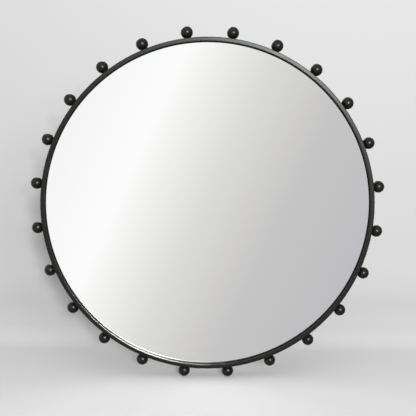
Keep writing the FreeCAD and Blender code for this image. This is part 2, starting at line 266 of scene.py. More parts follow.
@dataclass(frozen=True)
class PowderCoat(Finish):
    """Black polyester powder, sprayed dry and baked to a satin skin.

    The eye gets a soft sheen that breaks up into a fine orange peel, and slow patches where the coat
    is thicker and a little glossier.
    """

    spread: float = 0.04
    peel: float = 1.8 * MM
    peel_height: float = 0.03 * MM
    # The powder's real grit is about 0.1 mm, too fine to show, so it is drawn this coarse
    grit: float = 0.45 * MM
    grit_height: float = 0.006 * MM
    patch: float = 38 * MM

    def dress(self, skin: Skin) -> None:
        """Adds the patches, the orange peel and the grit.

        Args:
            skin: The material in the making.
        """
        patches = skin.add("TexNoise", {"Scale": 1 / self.patch}).outputs["Fac"]
        self.blend(skin, patches)
        self.vary(skin, patches)
        skin.lift(self.heights(skin))

    def heights(self, skin: Skin) -> list[tuple[bpy.types.NodeSocket, float]]:
        """The patterns that raise the skin.

        Args:
            skin: The material in the making.

        Returns:
            Each pattern with its height.
        """
        peel = skin.add("TexNoise", {"Scale": 1 / self.peel, "Detail": 1.0}).outputs["Fac"]
        grit = skin.add("TexNoise", {"Scale": 1 / self.grit}).outputs["Fac"]
        return [(peel, self.peel_height), (grit, self.grit_height)]


@dataclass(frozen=True)
class HoopCoat(PowderCoat):
    """The same powder over a rolled bar, whose butt weld at the bottom shows as a faint ridge."""

    weld_half_width: float = 3.5 * MM
    weld_height: float = 0.12 * MM
    wave: float = 90 * MM
    wave_height: float = 0.1 * MM

    def heights(self, skin: Skin) -> list[tuple[bpy.types.NodeSocket, float]]:
        """Adds the butt weld's ridge and the slow waves that rolling leaves to the coat's patterns.

        Args:
            skin: The material in the making.

        Returns:
            Each pattern with its height.
        """
        place = skin.add("SeparateXYZ", {"Vector": skin.coords}).outputs
        across = skin.add("Math", {0: place["X"]}, {"operation": "ABSOLUTE"}).outputs[0]
        ridge = skin.add("MapRange", {"Value": across, "From Max": self.weld_half_width, "To Min": 1.0,
                                      "To Max": 0.0}, {"interpolation_type": "SMOOTHSTEP"})
        below = skin.add("Math", {0: place["Z"], 1: 0.0}, {"operation": "LESS_THAN"}).outputs[0]
        weld = skin.add("Math", {0: ridge.outputs["Result"], 1: below}, {"operation": "MULTIPLY"})
        waves = skin.add("TexNoise", {"Scale": 1 / self.wave, "Detail": 0.0})
        own = [(weld.outputs[0], self.weld_height), (waves.outputs["Fac"], self.wave_height)]
        return own + super().heights(skin)


@dataclass(frozen=True)
class SilveredGlass(Finish):
    """Clear float glass, silvered and painted on its back, with a ground edge.

    The front is a clean mirror, and the back is the flat grey of its paint. The narrow ground edge is
    dark with the glass's own green in it, and that dark band is also painted shade: the dark line of
    shade and dark reflection at the glass's rim.
    """

    paint: str = "6D7072"
    paint_depth: float = 0.05 * MM
    ground_edge_and_shade_width: float = 0.8 * MM
    bare_roughness: float = 0.4
    streak: float = 30 * MM

    def dress(self, skin: Skin) -> None:
        """Adds the silver, the ground edge with its painted shade, and the paint, each where it is.

        Args:
            skin: The material in the making.
        """
        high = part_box("mirror_glass")[1]
        flat = skin.add("VectorMath", {0: skin.coords, 1: (1, 0, 1)}, {"operation": "MULTIPLY"})
        radius = skin.add("VectorMath", {0: flat.outputs["Vector"]}, {"operation": "LENGTH"})
        depth = skin.add("SeparateXYZ", {"Vector": skin.coords})
        # The edge mask covers the ground edge, whose dark band also paints the shade at the glass's rim
        limits = ((radius.outputs["Value"], high.x - self.ground_edge_and_shade_width),
                  (depth.outputs["Y"], high.y - self.paint_depth))
        edge, back = [skin.add("Math", {0: measure, 1: limit}, {"operation": "GREATER_THAN"}).outputs[0]
                      for measure, limit in limits]
        colour = linear(self.colour)
        for factor, code in ((edge, self.second_colour), (back, self.paint)):
            colour = skin.add("Mix", {MIX_FACTOR: factor, MIX_A: colour, MIX_B: linear(code)},
                              {"data_type": "RGBA"}).outputs[MIX_RESULT]
        skin.feed("Base Color", colour)
        bare = skin.add("Math", {0: edge, 1: back}, {"operation": "MAXIMUM"}).outputs[0]
        skin.feed("Metallic", skin.add("Math", {0: 1.0, 1: bare}, {"operation": "SUBTRACT"}).outputs[0])
        streaks = skin.add("TexNoise", {"Scale": 1 / self.streak}).outputs["Fac"]
        clean = skin.add("MapRange", {"Value": streaks, "To Min": 0.0, "To Max": 2 * self.roughness})
        dull = skin.add("Math", {0: bare, 1: self.bare_roughness, 2: clean.outputs["Result"]},
                        {"operation": "MULTIPLY_ADD"})
        skin.feed("Roughness", dull.outputs[0])


@dataclass(frozen=True)
class GalvanisedSheet(Finish):
    """Steel sheet dipped in zinc, which froze into spangles.

    The eye gets flat crystals of unlike greys, each feathered in a direction of its own.
    """

    spread: float = 0.09
    spangle: float = 11 * MM
    spangle_height: float = 0.03 * MM
    feather: float = 1.6 * MM
    feather_run: float = 6.0
    feather_height: float = 0.005 * MM
    feather_shade: float = 0.25

    def dress(self, skin: Skin) -> None:
        """Adds the spangles and the feathering inside them.

        Args:
            skin: The material in the making.
        """
        warp = skin.add("TexNoise", {"Scale": 1 / self.spangle, "Detail": 1.0}).outputs["Color"]
        pull = skin.add("VectorMath", {0: warp, 1: (self.spangle,) * 3, 2: skin.coords},
                        {"operation": "MULTIPLY_ADD"}).outputs["Vector"]
        cells = skin.add("TexVoronoi", {"Vector": pull, "Scale": 1 / self.spangle}).outputs
        tone = skin.add("SeparateColor", {"Color": cells["Color"]}).outputs
        lean = skin.add("Math", {0: tone["Blue"], 1: math.pi}, {"operation": "MULTIPLY"}).outputs[0]
        turned = skin.add("VectorRotate", {"Vector": skin.coords, "Axis": WALLWARD, "Angle": lean})
        drawn = skin.add("Mapping", {"Vector": turned.outputs["Vector"],
                                     "Scale": (1.0, 1.0, self.feather_run)})
        feathers = skin.add("TexNoise", {"Vector": drawn.outputs["Vector"],
                                         "Scale": 1 / (self.feather * self.feather_run)}).outputs["Fac"]
        shade = skin.add("MapRange", {"Value": feathers, "To Min": -self.feather_shade,
                                      "To Max": self.feather_shade}).outputs["Result"]
        mixed = skin.add("Math", {0: tone["Red"], 1: shade}, {"operation": "ADD", "use_clamp": True})
        self.blend(skin, mixed.outputs[0])
        self.vary(skin, tone["Green"])
        fine = skin.add("TexNoise", {"Scale": 1 / self.feather}).outputs["Fac"]
        skin.lift([(cells["Distance"], self.spangle_height), (fine, self.feather_height)])


@dataclass(frozen=True)
class ZincPlate(Finish):
    """Bright zinc plated on steel: pale, blue in one place and straw in another, with fine wear."""

    spread: float = 0.08
    cloud: float = 7 * MM
    # Real drawing marks are under 0.1 mm apart, too fine to show, so they are drawn this coarse
    scratch: float = 0.35 * MM
    scratch_height: float = 0.004 * MM
    run: Triple = (1.0, 1.0, 12.0)

    def dress(self, skin: Skin) -> None:
        """Adds the clouded colour and the fine drawn scratches.

        Args:
            skin: The material in the making.
        """
        self.blend(skin, skin.add("TexNoise", {"Scale": 1 / self.cloud}).outputs["Fac"])
        drawn = skin.add("Mapping", {"Vector": skin.coords, "Scale": self.run}).outputs["Vector"]
        grain = 1 / (self.scratch * max(self.run))
        scratches = skin.add("TexNoise", {"Vector": drawn, "Scale": grain}).outputs["Fac"]
        self.vary(skin, scratches)
        skin.lift([(scratches, self.scratch_height)])


@dataclass(frozen=True)
class BlackOxide(Finish):
    """Steel blacked in hot salts and oiled: near black, with the metal's own shine under it."""

    spread: float = 0.1
    mottle: float = 2.5 * MM

    def dress(self, skin: Skin) -> None:
        """Adds the oil's mottling.

        Args:
            skin: The material in the making.
        """
        mottles = skin.add("TexNoise", {"Scale": 1 / self.mottle}).outputs["Fac"]
        self.blend(skin, mottles)
        self.vary(skin, mottles)


@dataclass(frozen=True)
class Moulded(Finish):
    """Rubber or nylon from a spark-eroded mould: matt, with a fine even grain and a bloom of dust."""

    spread: float = 0.06
    # A mould's real grain is about 0.1 mm, too fine to show, so it is drawn this coarse
    grain: float = 0.3 * MM
    grain_height: float = 0.015 * MM
    bloom: float = 3.6 * MM
    shine: float = 1.8 * MM

    def dress(self, skin: Skin) -> None:
        """Adds the mould's grain, the bloom of paler dust and the uneven shine.

        Args:
            skin: The material in the making.
        """
        bloom, shine, grain = [skin.add("TexNoise", {"Scale": 1 / size}).outputs["Fac"]
                               for size in (self.bloom, self.shine, self.grain)]
        self.blend(skin, bloom)
        self.vary(skin, shine)
        skin.lift([(grain, self.grain_height)])


@dataclass(frozen=True)
class Sealant(Finish):
    """Silicone or adhesive laid from a nozzle: a smooth skin with slow waves from the hand."""

    wave: float = 9 * MM
    wave_height: float = 0.08 * MM

    def dress(self, skin: Skin) -> None:
        """Adds the waves.

        Args:
            skin: The material in the making.
        """
        waves = skin.add("TexNoise", {"Scale": 1 / self.wave}).outputs["Fac"]
        self.blend(skin, waves)
        self.vary(skin, waves)
        skin.lift([(waves, self.wave_height)])


@dataclass(frozen=True)
class Foam(Finish):
    """White closed-cell polyethylene foam, full of cut bubbles."""

    bubble: float = 0.6 * MM
    bubble_height: float = 0.15 * MM

    def dress(self, skin: Skin) -> None:
        """Adds the bubbles.

        Args:
            skin: The material in the making.
        """
        bubbles = skin.add("TexVoronoi", {"Scale": 1 / self.bubble}).outputs["Distance"]
        self.blend(skin, bubbles)
        skin.lift([(bubbles, self.bubble_height)])


@dataclass(frozen=True)
class WovenFilm(Finish):
    """Grey film reinforced with a flat weave of tapes, as it is stuck on a mirror's back."""

    tape: float = 2.4 * MM
    tape_height: float = 0.06 * MM

    def dress(self, skin: Skin) -> None:
        """Adds the weave, two sets of ribs at right angles.

        Args:
            skin: The material in the making.
        """
        # A wave texture of scale 1 repeats every pi / 10 metres
        scale = math.pi / (10 * self.tape)
        across, along = [skin.add("TexWave", {"Scale": scale}, {"bands_direction": way}).outputs["Fac"]
                         for way in ("X", "Z")]
        weave = skin.add("Math", {0: across, 1: along}, {"operation": "MULTIPLY"}).outputs[0]
        self.blend(skin, weave)
        skin.lift([(weave, self.tape_height)])


# Near black with a satin skin: a lamp in line draws a broad cool streak along the bar, where the powder
# flows out flatter than on a ball
HOOP_COAT = HoopCoat("satin_black_powder_on_bar", Slot.HOOP, "121210", "1A1917", 0.32, specular=0.25,
                     sheen_tint="F1F9F5", peel_height=0.02 * MM, grit_height=0.002 * MM)
# The same powder on a ball, where it pulls into a coarser peel: a small soft spot on a dark ball. The
# peel's height is drawn coarser than the real 0.02 mm, which wouldn't show
BALL_COAT = PowderCoat("satin_black_powder_on_ball", Slot.BALL, "0F0F0D", "1A1916", 0.31, specular=0.3,
                       peel_height=0.05 * MM)
# A thinner, flatter coat on the welded tabs, which sit out of sight
BRACKET_COAT = PowderCoat("flat_black_powder_on_tabs", Slot.BRACKET, "141412", "1D1D1A", 0.42)
# Black nylon: a dull dark line under each ball
NYLON = Moulded("moulded_black_nylon", Slot.NYLON, "0F0F10", "171718", 0.45)
# Blacked screws: dark, with a metal's glint round the socket
OXIDE = BlackOxide("black_oxide_steel", Slot.SCREW, "2A2A2C", "3A3A3C", 0.38, metallic=1.0)
# Silvered float glass: a clean bright reflection inside a thin dark line, which is the ground edge and
# painted shade at the rim
SILVER = SilveredGlass("silvered_float_glass", Slot.MIRROR, "FCFDFC", "0C1513", 0.004)
# Woven film: flat grey with a fine weave
FILM = WovenFilm("woven_polyethylene_film", Slot.FILM, "5A5D5F", "74787A", 0.5)
# Tooled silicone: a glossy black hollow round the glass
SILICONE = Sealant("tooled_black_silicone", Slot.SILICONE, "0B0F0E", "131716", 0.3)
# Foam tape: chalky white with open bubbles at its cut edges
FOAM = Foam("closed_cell_foam", Slot.FOAM, "CFCFCB", "F0F0EC", 0.8)
# Mirror adhesive: dull cream ropes
ADHESIVE = Sealant("cream_mirror_adhesive", Slot.ADHESIVE, "CDC4A8", "DDD6BE", 0.45)
# Galvanised sheet: cool pale grey, mottled with crystals
SHEET = GalvanisedSheet("hot_dip_galvanised_steel", Slot.SHEET, "A2A8AB", "D2D6D8", 0.38, metallic=1.0)
# Zinc plate on small steel parts: bright, with a blue and straw cast
ZINC = ZincPlate("bright_zinc_plate", Slot.ZINC, "C6CBD0", "D2CFC4", 0.3, metallic=1.0)
# Zinc on drawn wire: smoother, with scratches along the wire's level runs
WIRE = ZincPlate("zinc_plated_wire", Slot.WIRE, "BFC4C8", "CFCDC4", 0.26, metallic=1.0,
                 run=(12.0, 1.0, 1.0))
# Blind rivets: a little duller than the strap
RIVET = ZincPlate("zinc_plated_rivet", Slot.RIVET, "B9BDC0", "C9C8C2", 0.34, metallic=1.0)
# Bumper rubber: matt black with a grey bloom
RUBBER = Moulded("moulded_black_rubber", Slot.RUBBER, "131313", "212120", 0.72, specular=0.35)


def dress_nodes(names: Iterable[str], finish: Finish) -> None:
    """Gives CAD nodes a finish.

    Args:
        names: The nodes.
        finish: What covers them.
    """
    for name in names:
        for slot in frame["nodes"][name].material_slots:
            slot.material = finish.material()
        LOG.info("%s: %s", name, finish.name)


def put(name: str, data: bpy.types.ID) -> bpy.types.Object:
    """Puts a new object in the scene.

    Args:
        name: Its name.
        data: Its mesh, lamp or camera.

    Returns:
        The object.
    """
    thing = bpy.data.objects.new(name, data)
    bpy.context.scene.collection.objects.link(thing)
    return thing


def put_shape(name: str, shape: bmesh.types.BMesh, material: bpy.types.Material) -> bpy.types.Object:
    """Turns a shape into an object with smooth faces.

    Args:
        name: Its name.
        shape: Its shape, in place. It is used up.
        material: What covers it.

    Returns:
        The object.
    """
    for face in shape.faces:
        face.smooth = True
    mesh = bpy.data.meshes.new(name)
    shape.to_mesh(mesh)
    shape.free()
    mesh.materials.append(material)
    return put(name, mesh)


def make_piece(name: str, shape: bmesh.types.BMesh, finish: Finish, nodes: Iterable[str]) -> None:
    """Turns a shape into a finished piece that rides on the mirror.

    Args:
        name: The piece's name.
        shape: Its shape, in place. It is used up.
        finish: What covers it.
        nodes: The CAD nodes that it stands for.
    """
    bmesh.ops.remove_doubles(shape, verts=shape.verts, dist=MERGE_DISTANCE)
    bmesh.ops.recalc_face_normals(shape, faces=shape.faces)
    for edge in shape.edges:
        edge.smooth = len(edge.link_faces) == 2 and edge.calc_face_angle() < SHARP_ANGLE
    piece = put_shape(name, shape, finish.material())
    piece.modifiers.new("flat_faces_stay_flat", "WEIGHTED_NORMAL").keep_sharp = True
    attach(piece, MIRROR_BODY)
    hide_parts(*nodes)
    LOG.info("%s: %d faces, %s", name, len(piece.data.polygons), finish.name)


def turn(shape: bmesh.types.BMesh, degrees: float) -> bmesh.types.BMesh:
    """Turns a shape clockwise about the mirror's centre.

    Args:
        shape: The shape.
        degrees: How far, as the viewer in front sees it.

    Returns:
        The same shape.
    """
    matrix = Matrix.Rotation(math.radians(degrees), 3, "Y")
    bmesh.ops.rotate(shape, cent=CENTRE, matrix=matrix, verts=shape.verts)
    return shape


def move(shape: bmesh.types.BMesh, x: float, z: float) -> bmesh.types.BMesh:
    """Moves a shape in the mirror's plane and gives it back."""
    bmesh.ops.translate(shape, vec=(x, 0, z), verts=shape.verts)
    return shape


def spun(profile: Sequence[tuple[float, float]], steps: int, closed: bool = False) -> bmesh.types.BMesh:
    """A round shape about the mirror's own axis.

    Args:
        profile: Pairs of radius and Y.
        steps: How many flats go round.
        closed: Whether the profile's last point joins its first.

    Returns:
        The shape.
    """
    shape = bmesh.new()
    corners = [shape.verts.new((radius, y, 0)) for radius, y in profile]
    pairs = list(zip(corners, corners[1:]))
    if closed:
        pairs.append((corners[-1], corners[0]))
    edges = [shape.edges.new(pair) for pair in pairs]
    bmesh.ops.spin(shape, geom=corners + edges, cent=CENTRE, axis=WALLWARD, angle=FULL_TURN,
                   steps=steps, use_merge=True)
    return shape


def soften(shape: bmesh.types.BMesh, width: float) -> None:
    """Rounds every square edge of a shape.

    Args:
        shape: The shape.
        width: How wide the round is.
    """
    rims = [e for e in shape.edges if len(e.link_faces) == 2 and e.calc_face_angle() > RIM_ANGLE]
    bmesh.ops.bevel(shape, geom=rims, offset=width, segments=RIM_STEPS, profile=0.5, affect="EDGES",
                    material=-1, clamp_overlap=True)


def grown_verts(result: dict) -> list[bmesh.types.BMVert]:
    """The new points among what an extrusion gives back."""
    return [item for item in result["geom"] if isinstance(item, bmesh.types.BMVert)]


def arc(centre: tuple[float, float], radius: float, start: float, end: float,
        steps: int) -> list[tuple[float, float]]:
    """Points along an arc.

    Args:
        centre: Its centre.
        radius: Its radius.
        start: The first point's direction, in degrees.
        end: The last point's.
        steps: How many chords it has.

    Returns:
        The points, both ends included.
    """
    angles = [math.radians(start + (end - start) * k / steps) for k in range(steps + 1)]
    return [(centre[0] + radius * math.cos(a), centre[1] + radius * math.sin(a)) for a in angles]


def spaced(count: int, first: float = 0.0) -> list[tuple[int, float]]:
    """Evenly spaced pieces: each one's number, from 1, and its degrees clockwise from the top."""
    return [(number, first + (number - 1) * 360 / count) for number in range(1, count + 1)]


@dataclass(frozen=True)
class HoopAndBalls:
    """The rolled hoop, the balls screwed round it, and what holds them."""

    ball_word: str = "ball_"

    def build(self) -> None:
        """Dresses the hoop, every ball, and the washers and screws between them."""
        balls = [name for name in frame["nodes"]
                 if name.startswith(self.ball_word) and name[len(self.ball_word):].isdigit()]
        dress_nodes(["hoop"], HOOP_COAT)
        dress_nodes(sorted(balls), BALL_COAT)
        dress_nodes(["ball_washers"], NYLON)
        dress_nodes(["ball_screws"], OXIDE)


@dataclass(frozen=True)
class GlassPack:
    """The glass, the film and tape behind it, and the bead of silicone round its edge."""

    glass_gap: float = 0.1 * MM
    hollow: float = 0.7 * MM
    hollow_steps: int = 6
    seal_steps: int = 240

    def build(self) -> None:
        """Dresses the flat layers and lays the bead."""
        dress_nodes(["mirror_glass"], SILVER)
        dress_nodes(["safety_film"], FILM)
        dress_nodes(["foam_tape"], FOAM)
        dress_nodes(["adhesive_beads"], ADHESIVE)
        make_piece("silicone_bead", self.bead(), SILICONE, ["edge_seal"])

    def bead(self) -> bmesh.types.BMesh:
        """A ring of silicone whose front was drawn hollow by a finger.

        Returns:
            The shape.
        """
        low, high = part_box("edge_seal")
        inner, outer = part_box("mirror_glass")[1].x + self.glass_gap, high.x
        middle, half = (inner + outer) / 2, (outer - inner) / 2
        profile = [(inner, high.y), (inner, low.y)]
        for k in range(1, self.hollow_steps):
            share = 2 * k / self.hollow_steps - 1
            profile.append((middle + half * share, low.y + self.hollow * (1 - share ** 2)))
        return spun(profile + [(outer, low.y), (outer, high.y)], self.seal_steps, closed=True)


@dataclass(frozen=True)
class WeldedPlates:
    """Plates welded inside the hoop: outline, thickness and the welds that hold them."""

    near: float
    far: float
    gap: float = 0.1 * MM
    edge_round: float = 0.4 * MM
    top_cuts: int = 9
    corner_steps: int = 6
    hole_steps: int = 32
    weld_leg: float = 4 * MM
    weld_inset: float = 3 * MM
    weld_bulge: float = 0.82
    weld_taper: float = 2.2 * MM
    weld_end: float = 0.55
    ripple: float = 1.1 * MM
    ripple_depth: float = 0.13
    crescent: float = 0.45
    section_steps: int = 8
    steps_per_ripple: int = 6

    @property
    def wall(self) -> float:
        """The radius that a plate's top follows, just short of the hoop."""
        return INNER_WALL - self.gap

    def wall_z(self, x: float) -> float:
        """The height of that wall over a given X."""
        return math.sqrt(self.wall ** 2 - x ** 2)

    def plate(self, left: float, right: float, low: float, corner: float,
              hole: tuple[float, float] | None = None) -> bmesh.types.BMesh:
        """A plate whose top follows the hoop's inner wall, with its two lower corners rounded.

        Args:
            left: X of its left side.
            right: X of its right side.
            low: Z of its foot.
            corner: The radius of its lower corners.
            hole: Z and radius of a hole on X = 0.

        Returns:
            The shape.
        """
        shape = bmesh.new()
        ends = [(left, low), (right, low), (right, self.wall_z(right)), (left, self.wall_z(left))]
        corners = [shape.verts.new((x, self.near, z)) for x, z in ends]
        shape.faces.new(corners)
        top = shape.edges.get((corners[2], corners[3]))
        bmesh.ops.subdivide_edges(shape, edges=[top], cuts=self.top_cuts)
        for vert in shape.verts:
            if vert.co.z > low + corner:
                vert.co.z = self.wall_z(vert.co.x)
        feet = [vert for vert in shape.verts if vert.co.z < low + corner]
        bmesh.ops.bevel(shape, geom=feet, offset=corner, segments=self.corner_steps, profile=0.5,
                        affect="VERTICES", material=-1)
        if hole:
            self.cut_hole(shape, *hole)
        grown = grown_verts(bmesh.ops.extrude_face_region(shape, geom=shape.faces[:]))
        bmesh.ops.translate(shape, vec=(0, self.far - self.near, 0), verts=grown)
        bmesh.ops.recalc_face_normals(shape, faces=shape.faces)
        soften(shape, self.edge_round)
        return shape

    def cut_hole(self, shape: bmesh.types.BMesh, z: float, radius: float) -> None:
        """Leaves a round hole in a flat outline.

        Args:
            shape: The outline, as one face.
            z: The hole's height.
            radius: Its radius.
        """
        bmesh.ops.delete(shape, geom=shape.faces[:], context="FACES_ONLY")
        place = Matrix.Translation((0, self.near, z)) @ Matrix.Rotation(math.pi / 2, 4, "X")
        bmesh.ops.create_circle(shape, cap_ends=False, radius=radius, segments=self.hole_steps,
                                matrix=place)
        bmesh.ops.triangle_fill(shape, use_beauty=True, edges=shape.edges[:])

    def weld(self, middle: float, span: float) -> bmesh.types.BMesh:
        """A rippled fillet of weld along the plate's back, where it meets the hoop.

        Args:
            middle: The direction of its middle, in degrees clockwise from the top.
            span: How many degrees it takes.

        Returns:
            The shape.
        """
        shape = bmesh.new()
        ring = [shape.verts.new((0, self.far, self.wall))]
        for k in range(self.section_steps + 1):
            lean = math.pi / 2 * k / self.section_steps
            reach = self.weld_leg * (self.weld_bulge + (1 - self.weld_bulge) * math.cos(2 * lean) ** 2)
            ring.append(shape.verts.new((0, self.far + reach * math.cos(lean),
                                         self.wall - reach * math.sin(lean))))
        edges = [shape.edges.new(pair) for pair in zip(ring, ring[1:] + ring[:1])]
        length = math.radians(span) * self.wall
        steps = int(length / self.ripple * self.steps_per_ripple)
        bmesh.ops.spin(shape, geom=ring + edges, cent=CENTRE, axis=WALLWARD, angle=math.radians(span),
                       steps=steps)
        for vert in shape.verts:
            self.ripple_vertex(vert, length)
        bmesh.ops.holes_fill(shape, edges=[e for e in shape.edges if e.is_boundary])
        return turn(shape, middle - span / 2)

    def ripple_vertex(self, vert: bmesh.types.BMVert, length: float) -> None:
        """Moves one point of a weld in or out, so that the weld looks laid drop by drop.

        Args:
            vert: The point.
            length: The weld's length.
        """
        radius, along = math.hypot(vert.co.x, vert.co.z), math.atan2(vert.co.x, vert.co.z)
        inward, back = self.wall - radius, vert.co.y - self.far
        if math.hypot(inward, back) < MERGE_DISTANCE:
            return
        place = along * self.wall
        bow = math.sin(2 * math.atan2(inward, back))
        drop = place / self.ripple + self.crescent * bow
        size = 1 - self.ripple_depth * (drop % 1.0) * bow
        nearest_end = min(max(min(place, length - place) / self.weld_taper, 0.0), 1.0)
        size *= self.weld_end + (1 - self.weld_end) * math.sqrt(nearest_end)
        radius = self.wall - inward * size
        vert.co = (radius * math.sin(along), self.far + back * size, radius * math.cos(along))


@dataclass(frozen=True)
class PanelFixings:
    """The back panel and the lugs, welds, studs, washers and locking nuts that hold it."""

    count: int = 8
    lug_width: float = 30 * MM
    lug_length: float = 28 * MM
    lug_corner: float = 5 * MM
    lug_hole: float = 3.5 * MM
    stud_inset: float = 16 * MM
    stud_radius: float = 2.5 * MM
    thread_pitch: float = 0.8 * MM
    thread_depth: float = 0.43 * MM
    thread_steps: int = 24
    washer_radius: float = 7.5 * MM
    washer_hole: float = 2.65 * MM
    washer_round: float = 0.2 * MM
    nut_flats: float = 8 * MM
    nut_height: float = 3.8 * MM
    nut_land: float = 0.93
    nut_edge: float = 0.1 * MM
    nut_chamfer: float = 30.0
    collar_radius: float = 3.7 * MM
    collar_wall: float = 0.45 * MM
    ring_drop: tuple[float, float] = (0.2 * MM, 0.3 * MM)
    round_steps: int = 48

    def build(self) -> None:
        """Dresses the panel and makes one set of fixings for each lug."""
        dress_nodes(["back_panel"], SHEET)
        low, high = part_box("fixing_lugs")
        plates = WeldedPlates(low.y, high.y)
        span = math.degrees((self.lug_width - 2 * plates.weld_inset) / INNER_WALL)
        stud_z = INNER_WALL - self.stud_inset
        for number, angle in spaced(self.count):
            lug = plates.plate(-self.lug_width / 2, self.lug_width / 2, INNER_WALL - self.lug_length,
                               self.lug_corner, (stud_z, self.lug_hole))
            make_piece("fixing_lug_%d" % number, turn(lug, angle), BRACKET_COAT, ["fixing_lugs"])
            make_piece("lug_weld_%d" % number, plates.weld(angle, span), BRACKET_COAT, ["weld_beads"])
            fasteners = [
                ("panel_stud", self.stud(), ZINC, "panel_studs"),
                ("panel_washer", self.washer(), ZINC, "panel_washers"),
                ("panel_nut", self.nut(), ZINC, "panel_nuts"),
                ("nut_ring", self.nut_ring(), NYLON, "panel_nuts"),
            ]
            for name, shape, finish, node in fasteners:
                fastener = turn(move(shape, 0, stud_z), angle)
                make_piece("%s_%d" % (name, number), fastener, finish, [node])

    def stud(self) -> bmesh.types.BMesh:
        """A threaded stud, its thread a true helix, on the mirror's axis.

        Returns:
            The shape.
        """
        low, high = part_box("panel_studs")
        shape = bmesh.new()
        root = self.stud_radius - self.thread_depth
        points = [(root, 0.0), (self.stud_radius, 0.5), (root, 1.0)]
        ring = [shape.verts.new((r, low.y + share * self.thread_pitch, 0)) for r, share in points]
        edges = [shape.edges.new(pair) for pair in zip(ring, ring[1:])]
        turns = int((high.y - low.y) / self.thread_pitch) - 1
        rise = WALLWARD * self.thread_pitch / self.thread_steps
        bmesh.ops.spin(shape, geom=ring + edges, cent=CENTRE, axis=WALLWARD, dvec=rise,
                       angle=FULL_TURN * turns, steps=self.thread_steps * turns)
        bmesh.ops.remove_doubles(shape, verts=shape.verts, dist=MERGE_DISTANCE)
        for vert in shape.verts:
            if vert.co.y > high.y - self.thread_pitch:
                slimmer = min(1.0, root / math.hypot(vert.co.x, vert.co.z))
                vert.co.x, vert.co.z = vert.co.x * slimmer, vert.co.z * slimmer
        caps = bmesh.ops.holes_fill(shape, edges=[e for e in shape.edges if e.is_boundary])["faces"]
        bmesh.ops.triangulate(shape, faces=caps)
        return shape

    def washer(self) -> bmesh.types.BMesh:
        """A flat washer with its punched edges eased.

        Returns:
            The shape, on the mirror's axis.
        """
        low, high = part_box("panel_washers")
        profile = [(self.washer_hole, low.y), (self.washer_radius, low.y),
                   (self.washer_radius, high.y), (self.washer_hole, high.y)]
        shape = spun(profile, self.round_steps, closed=True)
        soften(shape, self.washer_round)
        return shape

    def nut(self) -> bmesh.types.BMesh:
        """A hexagon nut, chamfered on its corners, with a thin round collar drawn out of it.

        Returns:
            The shape, on the mirror's axis.
        """
        low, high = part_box("panel_nuts")
        shoulder = low.y + self.nut_height
        flat = self.nut_flats / 2
        land = flat * self.nut_land
        lip = self.collar_radius - self.collar_wall
        profile = [(self.stud_radius, low.y), (land, low.y), (flat, low.y + self.nut_edge),
                   (flat, shoulder - self.nut_edge), (land, shoulder), (self.collar_radius, shoulder),
                   (self.collar_radius, high.y), (lip, high.y), (lip, shoulder),
                   (self.stud_radius, shoulder)]
        shape = spun(profile, self.round_steps, closed=True)
        drop = math.tan(math.radians(self.nut_chamfer))
        middle = (low.y + shoulder) / 2
        side, half = math.pi / 3, math.pi / 6
        for vert in shape.verts:
            if abs(math.hypot(vert.co.x, vert.co.z) - flat) > MERGE_DISTANCE:
                continue
            lean = (math.atan2(vert.co.z, vert.co.x) + half) % side - half
            grown = flat / math.cos(lean)
            chamfer = (grown - land) * drop
            vert.co.y = low.y + chamfer if vert.co.y < middle else shoulder - chamfer
            vert.co.x, vert.co.z = vert.co.x * grown / flat, vert.co.z * grown / flat
        return shape

    def nut_ring(self) -> bmesh.types.BMesh:
        """The nylon ring that the nut's collar holds.

        Returns:
            The shape, on the mirror's axis.
        """
        low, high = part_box("panel_nuts")
        outer, floor = self.collar_radius - self.collar_wall, low.y + self.nut_height
        profile = [(self.stud_radius, floor), (outer, floor), (outer, high.y - self.ring_drop[0]),
                   (self.stud_radius, high.y - self.ring_drop[1])]
        return spun(profile, self.round_steps, closed=True)


